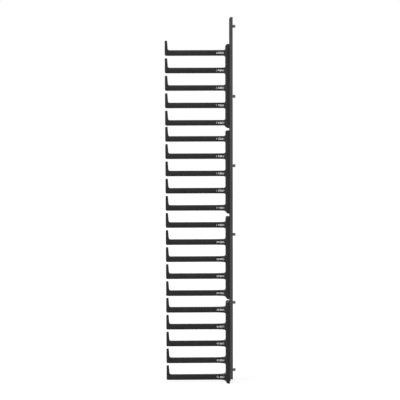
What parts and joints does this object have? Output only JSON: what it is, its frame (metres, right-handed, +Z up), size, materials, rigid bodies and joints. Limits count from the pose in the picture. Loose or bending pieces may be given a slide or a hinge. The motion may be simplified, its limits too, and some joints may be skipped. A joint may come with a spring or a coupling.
{
  "type": "vertical cable manager",
  "caption": "Vertical finger-type cable manager for a server rack: moulded combs of hooked fingers on a folded steel rail that hangs on shouldered studs.",
  "frame": {"origin": "centre of the lowest mounting stud, on the rail's back face", "axes": "+Z up along the rail, -Y forward along the fingers, +Y back into the rack along the studs, X across the width"},
  "size_m": [0.039, 0.1803, 0.9438],
  "materials": {
    "powder_coat": "fine-textured black powder coat on sheet steel",
    "moulded_plastic": "black moulded plastic with a fine spark-eroded texture",
    "black_screw": "black zinc on steel",
    "stud_steel": "turned steel, grey zinc",
    "zinc_steel": "bright zinc on steel"
  },
  "bodies": {
    "root": {"mounting_rail": "powder_coat", "comb_1": "moulded_plastic", "comb_2": "moulded_plastic", "comb_3": "moulded_plastic", "comb_4": "moulded_plastic", "comb_1_screws": "black_screw", "comb_2_screws": "black_screw", "comb_3_screws": "black_screw", "comb_4_screws": "black_screw", "comb_1_clinch_nuts": "zinc_steel", "comb_2_clinch_nuts": "zinc_steel", "comb_3_clinch_nuts": "zinc_steel", "comb_4_clinch_nuts": "zinc_steel", "mounting_stud_1": "stud_steel", "mounting_stud_2": "stud_steel", "mounting_stud_3": "stud_steel", "mounting_stud_4": "stud_steel", "mounting_stud_5": "stud_steel", "mounting_stud_6": "stud_steel", "stud_nut_1": "zinc_steel", "stud_nut_2": "zinc_steel", "stud_nut_3": "zinc_steel", "stud_nut_4": "zinc_steel", "stud_nut_5": "zinc_steel", "stud_nut_6": "zinc_steel"}
  },
  "joints": []
}
